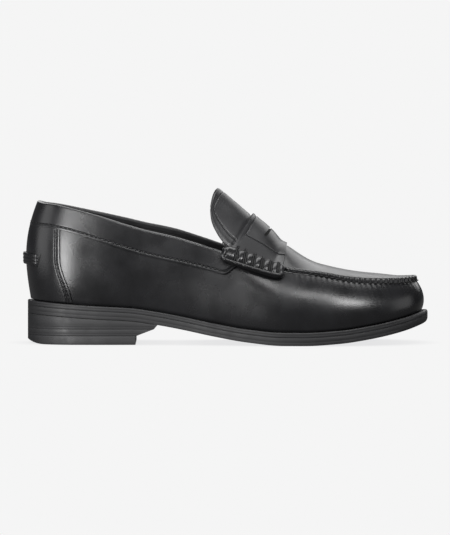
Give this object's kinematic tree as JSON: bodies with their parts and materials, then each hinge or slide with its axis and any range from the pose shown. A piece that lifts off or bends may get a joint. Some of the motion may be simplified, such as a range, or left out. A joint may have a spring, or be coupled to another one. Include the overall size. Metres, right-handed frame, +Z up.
{
  "type": "penny loafer",
  "caption": "Right slip-on leather shoe with a low stacked heel, raised apron seam, slotted saddle strap held by thread-wrapped rolls, collar band and free tongue.",
  "frame": {"origin": "on the ground under the middle of the shoe's overall length and width, with the heel and the ball of the sole on the ground", "axes": "+X from the heel to the toe, +Y to the inner side of a right foot, +Z up"},
  "size_m": [0.2918, 0.1005, 0.1121],
  "materials": {
    "upper_leather": "polished box calf, black, semi-gloss",
    "apron_leather": "polished box calf, black, a little lighter where it is burnished",
    "lining_leather": "black lining leather, matt",
    "waxed_thread": "waxed twisted polyester thread, black",
    "sole_rubber": "moulded rubber, black, matt, fine horizontal trimming lines",
    "fibre_board": "pressed leather-fibre board",
    "cork": "ground cork paste",
    "heel_foam": "latex foam sheet",
    "spring_steel": "tempered spring steel strip",
    "nail_steel": "drawn steel nails"
  },
  "bodies": {
    "shoe": {"vamp": "upper_leather", "back_counter": "upper_leather", "collar_band": "upper_leather", "heel_tab": "upper_leather", "beefroll_outer": "upper_leather", "beefroll_inner": "upper_leather", "apron": "apron_leather", "strap": "apron_leather", "quarter_lining_outer": "lining_leather", "quarter_lining_inner": "lining_leather", "vamp_lining": "lining_leather", "heel_grip": "lining_leather", "apron_lining": "lining_leather", "sock_liner": "lining_leather", "beefroll_thread_outer": "waxed_thread", "beefroll_thread_inner": "waxed_thread", "apron_seam_thread": "waxed_thread", "outsole": "sole_rubber", "welt": "sole_rubber", "heel_top_piece": "sole_rubber", "heel_lift_lower": "sole_rubber", "heel_lift_upper": "sole_rubber", "insole_board": "fibre_board", "heel_counter_stiffener": "fibre_board", "toe_puff": "fibre_board", "cork_filler": "cork", "heel_pad": "heel_foam", "shank": "spring_steel", "heel_nail_1": "nail_steel", "heel_nail_2": "nail_steel", "heel_nail_3": "nail_steel", "heel_nail_4": "nail_steel", "heel_nail_5": "nail_steel"},
    "tongue": {"tongue": "apron_leather", "tongue_lining": "lining_leather"}
  },
  "joints": [
    {"name": "tongue_flex", "type": "hinge", "parent": "shoe", "child": "tongue", "pos_m": [0.0195, 0, 0.0912], "axis": [0, 1, 0], "range_deg": [-8, 18], "stiffness_Nm_per_rad": 0.15}
  ]
}
